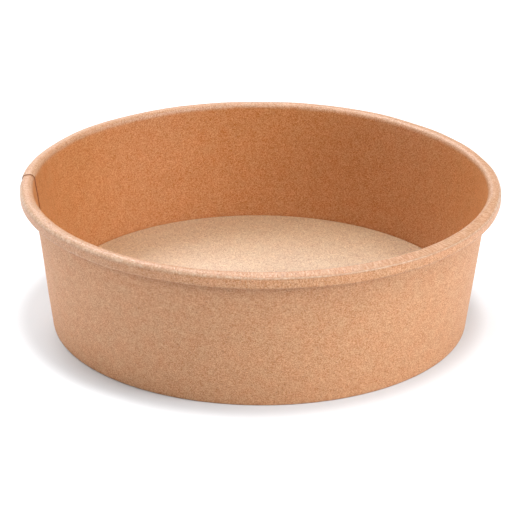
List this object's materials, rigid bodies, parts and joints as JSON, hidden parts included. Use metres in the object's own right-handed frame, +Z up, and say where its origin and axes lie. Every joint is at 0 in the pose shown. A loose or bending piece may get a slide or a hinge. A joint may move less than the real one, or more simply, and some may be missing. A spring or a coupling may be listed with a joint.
{
  "type": "paper salad bowl",
  "caption": "Wide, low kraft paper bowl with a tapered wall, an outward rolled rim, a lapped side seam and a recessed flat floor.",
  "frame": {"origin": "on the table at the bowl's centre", "axes": "+Z up along the bowl's axis; the edge of the side seam that shows inside the bowl is on -X"},
  "size_m": [0.15, 0.15, 0.046],
  "materials": {
    "wall_kraft": "brown kraft board with fine fibres, slightly glossy inside from its film",
    "floor_kraft": "brown kraft board with fine fibres and a slightly glossy film"
  },
  "bodies": {
    "root": {"side_wall": "wall_kraft", "bottom_disc": "floor_kraft"}
  },
  "joints": []
}
